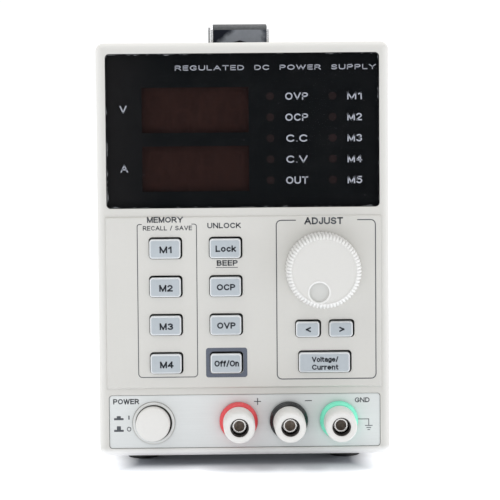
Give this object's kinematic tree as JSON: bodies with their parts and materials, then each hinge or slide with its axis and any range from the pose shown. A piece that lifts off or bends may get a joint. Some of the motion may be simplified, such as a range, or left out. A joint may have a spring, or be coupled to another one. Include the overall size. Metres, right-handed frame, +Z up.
{
  "type": "bench power supply",
  "caption": "Narrow upright bench power supply: tinted display window, keypad, dial, screw-cap terminals, power button, strap handle on a louvred steel case.",
  "frame": {"origin": "centre of the bounding box in X and Y, on the floor under the feet", "axes": "+X right and +Y towards the rear as seen from the front, +Z up; the front faces -Y"},
  "size_m": [0.1114, 0.3338, 0.1674],
  "materials": {
    "cream_plastic": "fine texture",
    "window_acrylic": "dark tinted, polished",
    "display_filter": "dark red filter",
    "lamp_plastic": "milky lens",
    "circuit_board": "solder mask",
    "black_plastic": "fine texture",
    "bright_metal": "satin",
    "white_plastic": "satin",
    "key_plastic": "satin",
    "red_plastic": "moulded",
    "green_plastic": "moulded",
    "brass": "turned",
    "plated_brass": "nickel plated",
    "silver_plate": "satin silver paint",
    "painted_steel": "powder coat",
    "zinc_steel": "zinc plated",
    "black_rubber": "grained",
    "chrome_trim": "bright",
    "iron": "varnished laminations",
    "coil_tape": "yellow tape",
    "can_aluminium": "dark sleeve",
    "bare_aluminium": "extruded",
    "lead_plastic": "soft sleeve",
    "wire_steel": "plated wire"
  },
  "bodies": {
    "case": {"front_bezel": "cream_plastic", "display_window": "window_acrylic", "digit_displays": "display_filter", "indicator_lamps": "lamp_plastic", "control_board": "circuit_board", "tact_switches": "black_plastic", "encoder_body": "bright_metal", "power_switch": "black_plastic", "red_collar": "red_plastic", "black_collar": "black_plastic", "green_collar": "green_plastic", "terminal_stems": "plated_brass", "terminal_nuts": "plated_brass", "terminal_plate": "silver_plate", "top_cover": "painted_steel", "chassis_tray": "zinc_steel", "rear_panel": "painted_steel", "case_screws": "zinc_steel", "rubber_feet": "black_rubber", "handle_clips": "chrome_trim", "handle_screws": "zinc_steel", "transformer_core": "iron", "transformer_coil": "coil_tape", "transformer_frame": "zinc_steel", "main_board": "circuit_board", "filter_capacitors": "can_aluminium", "heatsink": "bare_aluminium", "power_transistors": "black_plastic", "output_leads": "lead_plastic", "fan_frame": "black_plastic", "fan_guard": "wire_steel", "fan_screws": "zinc_steel", "mains_inlet": "black_plastic", "voltage_selector": "black_plastic", "interface_card": "bright_metal"},
    "memory_button_1": {"memory_key_1": "key_plastic"},
    "memory_button_2": {"memory_key_2": "key_plastic"},
    "memory_button_3": {"memory_key_3": "key_plastic"},
    "memory_button_4": {"memory_key_4": "key_plastic"},
    "lock_button": {"lock_key": "key_plastic"},
    "current_limit_button": {"current_limit_key": "key_plastic"},
    "voltage_limit_button": {"voltage_limit_key": "key_plastic"},
    "output_button": {"output_key": "key_plastic"},
    "cursor_left_button": {"cursor_left_key": "key_plastic"},
    "cursor_right_button": {"cursor_right_key": "key_plastic"},
    "mode_button": {"mode_key": "key_plastic"},
    "power_control": {"power_button": "white_plastic", "power_plunger": "black_plastic"},
    "knob": {"adjust_knob": "white_plastic", "encoder_shaft": "bright_metal"},
    "red_thread": {"red_cap_insert": "brass"},
    "red_grip": {"red_cap": "white_plastic"},
    "black_thread": {"black_cap_insert": "brass"},
    "black_grip": {"black_cap": "white_plastic"},
    "green_thread": {"green_cap_insert": "brass"},
    "green_grip": {"green_cap": "white_plastic"},
    "fan_wheel": {"fan_rotor": "black_plastic"},
    "fuse_tray": {"fuse_drawer": "black_plastic"},
    "selector": {"selector_slider": "red_plastic"},
    "strap": {"handle_strap": "black_rubber"}
  },
  "joints": [
    {"name": "memory_press_1", "type": "slide", "parent": "case", "child": "memory_button_1", "axis": [0, 1, 0], "range_m": [0, 0.0005], "stiffness_N_per_m": 150},
    {"name": "memory_press_2", "type": "slide", "parent": "case", "child": "memory_button_2", "axis": [0, 1, 0], "range_m": [0, 0.0005], "stiffness_N_per_m": 150},
    {"name": "memory_press_3", "type": "slide", "parent": "case", "child": "memory_button_3", "axis": [0, 1, 0], "range_m": [0, 0.0005], "stiffness_N_per_m": 150},
    {"name": "memory_press_4", "type": "slide", "parent": "case", "child": "memory_button_4", "axis": [0, 1, 0], "range_m": [0, 0.0005], "stiffness_N_per_m": 150},
    {"name": "lock_press", "type": "slide", "parent": "case", "child": "lock_button", "axis": [0, 1, 0], "range_m": [0, 0.0005], "stiffness_N_per_m": 150},
    {"name": "current_limit_press", "type": "slide", "parent": "case", "child": "current_limit_button", "axis": [0, 1, 0], "range_m": [0, 0.0005], "stiffness_N_per_m": 150},
    {"name": "voltage_limit_press", "type": "slide", "parent": "case", "child": "voltage_limit_button", "axis": [0, 1, 0], "range_m": [0, 0.0005], "stiffness_N_per_m": 150},
    {"name": "output_press", "type": "slide", "parent": "case", "child": "output_button", "axis": [0, 1, 0], "range_m": [0, 0.0005], "stiffness_N_per_m": 150},
    {"name": "cursor_left_press", "type": "slide", "parent": "case", "child": "cursor_left_button", "axis": [0, 1, 0], "range_m": [0, 0.0005], "stiffness_N_per_m": 150},
    {"name": "cursor_right_press", "type": "slide", "parent": "case", "child": "cursor_right_button", "axis": [0, 1, 0], "range_m": [0, 0.0005], "stiffness_N_per_m": 150},
    {"name": "mode_press", "type": "slide", "parent": "case", "child": "mode_button", "axis": [0, 1, 0], "range_m": [0, 0.0005], "stiffness_N_per_m": 150},
    {"name": "power_press", "type": "slide", "parent": "case", "child": "power_control", "axis": [0, 1, 0], "range_m": [0, 0.0035]},
    {"name": "knob_turn", "type": "hinge", "parent": "case", "child": "knob", "pos_m": [0.0297, -0.14702, 0.0747], "axis": [0, -1, 0], "continuous": true},
    {"name": "red_cap_travel", "type": "slide", "parent": "case", "child": "red_thread", "axis": [0, -1, 0], "range_m": [0, 0.004]},
    {"name": "red_cap_turn", "type": "hinge", "parent": "red_thread", "child": "red_grip", "pos_m": [-0.0024, -0.14672, 0.0171], "axis": [0, -1, 0], "range_deg": [0, 1440]},
    {"name": "black_cap_travel", "type": "slide", "parent": "case", "child": "black_thread", "axis": [0, -1, 0], "range_m": [0, 0.004]},
    {"name": "black_cap_turn", "type": "hinge", "parent": "black_thread", "child": "black_grip", "pos_m": [0.0166, -0.14672, 0.0171], "axis": [0, -1, 0], "range_deg": [0, 1440]},
    {"name": "green_cap_travel", "type": "slide", "parent": "case", "child": "green_thread", "axis": [0, -1, 0], "range_m": [0, 0.004]},
    {"name": "green_cap_turn", "type": "hinge", "parent": "green_thread", "child": "green_grip", "pos_m": [0.0356, -0.14672, 0.0171], "axis": [0, -1, 0], "range_deg": [0, 1440]},
    {"name": "fan_spin", "type": "hinge", "parent": "case", "child": "fan_wheel", "pos_m": [0, 0.14297, 0.1166], "axis": [0, 1, 0], "continuous": true},
    {"name": "fuse_drawer_slide", "type": "slide", "parent": "case", "child": "fuse_tray", "axis": [0, 1, 0], "range_m": [0, 0.018]},
    {"name": "selector_slide", "type": "slide", "parent": "case", "child": "selector", "axis": [1, 0, 0], "range_m": [0, 0.0067]},
    {"name": "handle_lift", "type": "slide", "parent": "case", "child": "strap", "axis": [0, 0, 1], "range_m": [0, 0.02], "deforming": ["handle_strap"]}
  ],
  "couplings": [
    {"joint": "red_cap_turn", "follows": "red_cap_travel", "rad_per_m": 6283.2},
    {"joint": "black_cap_turn", "follows": "black_cap_travel", "rad_per_m": 6283.2},
    {"joint": "green_cap_turn", "follows": "green_cap_travel", "rad_per_m": 6283.2}
  ]
}
